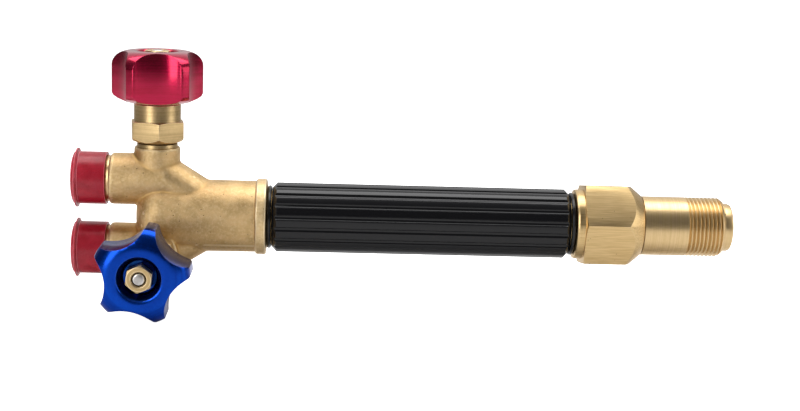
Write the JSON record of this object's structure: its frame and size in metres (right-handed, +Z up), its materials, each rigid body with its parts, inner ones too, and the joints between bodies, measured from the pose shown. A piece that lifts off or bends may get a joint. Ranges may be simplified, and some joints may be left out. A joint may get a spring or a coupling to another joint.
{
  "type": "lampwork torch handle",
  "caption": "Gas torch handle for lampwork and glassworking: brass valve body with red fuel and blue oxygen needle valve knobs, fluted black grip and threaded brass outlet.",
  "frame": {"origin": "centre of the bounding box, caps and outlet included", "axes": "+X along the handle towards the threaded outlet, +Z up along the fuel valve's stem, -Y along the oxygen valve's stem"},
  "size_m": [0.2118, 0.0588, 0.078],
  "materials": {
    "valve_body": "bead-blasted forging",
    "fuel_gland_nut": "machined hexagon bar",
    "fuel_packing_washer": "turned",
    "fuel_packing": "soft white packing",
    "fuel_stem": "turned stainless steel",
    "fuel_knob": "red anodised, turned",
    "fuel_knob_nut": "machined",
    "fuel_inlet_cap": "soft translucent red",
    "oxygen_gland_nut": "machined hexagon bar",
    "oxygen_packing_washer": "turned",
    "oxygen_packing": "soft white packing",
    "oxygen_stem": "turned stainless steel",
    "oxygen_knob": "blue anodised, turned",
    "oxygen_knob_nut": "machined",
    "oxygen_inlet_cap": "soft translucent red",
    "grip_tube": "glossy black, fluted",
    "rear_grip_ring": "smooth black rubber",
    "front_grip_ring": "smooth black rubber",
    "oxygen_tube": "drawn copper",
    "fuel_tube": "drawn copper",
    "head": "machined bar stock",
    "outlet_spigot": "turned and threaded"
  },
  "bodies": {
    "handle": {"valve_body": "valve_body", "fuel_gland_nut": "fuel_gland_nut", "fuel_packing_washer": "fuel_packing_washer", "fuel_packing": "fuel_packing", "oxygen_gland_nut": "oxygen_gland_nut", "oxygen_packing_washer": "oxygen_packing_washer", "oxygen_packing": "oxygen_packing", "grip_tube": "grip_tube", "rear_grip_ring": "rear_grip_ring", "front_grip_ring": "front_grip_ring", "oxygen_tube": "oxygen_tube", "fuel_tube": "fuel_tube", "head": "head", "outlet_spigot": "outlet_spigot"},
    "fuel_needle": {"fuel_stem": "fuel_stem"},
    "fuel_control": {"fuel_knob": "fuel_knob", "fuel_knob_nut": "fuel_knob_nut"},
    "fuel_cap": {"fuel_inlet_cap": "fuel_inlet_cap"},
    "oxygen_needle": {"oxygen_stem": "oxygen_stem"},
    "oxygen_control": {"oxygen_knob": "oxygen_knob", "oxygen_knob_nut": "oxygen_knob_nut"},
    "oxygen_cap": {"oxygen_inlet_cap": "oxygen_inlet_cap"}
  },
  "joints": [
    {"name": "fuel_stem_lift", "type": "slide", "parent": "handle", "child": "fuel_needle", "axis": [0, 0, 1], "range_m": [0, 0.002]},
    {"name": "fuel_knob_turn", "type": "hinge", "parent": "fuel_needle", "child": "fuel_control", "pos_m": [-0.0791, 0.01467, 0.02236], "axis": [0, 0, 1], "range_deg": [0, 720]},
    {"name": "fuel_cap_pull", "type": "slide", "parent": "handle", "child": "fuel_cap", "axis": [-1, 0, 0], "range_m": [0, 0.02]},
    {"name": "oxygen_stem_lift", "type": "slide", "parent": "handle", "child": "oxygen_needle", "axis": [0, -1, 0], "range_m": [0, 0.002]},
    {"name": "oxygen_knob_turn", "type": "hinge", "parent": "oxygen_needle", "child": "oxygen_control", "pos_m": [-0.0796, -0.01283, -0.02494], "axis": [0, -1, 0], "range_deg": [0, 720]},
    {"name": "oxygen_cap_pull", "type": "slide", "parent": "handle", "child": "oxygen_cap", "axis": [-1, 0, 0], "range_m": [0, 0.02]}
  ],
  "couplings": [
    {"joint": "fuel_knob_turn", "follows": "fuel_stem_lift", "rad_per_m": 6283},
    {"joint": "oxygen_knob_turn", "follows": "oxygen_stem_lift", "rad_per_m": 6283}
  ]
}
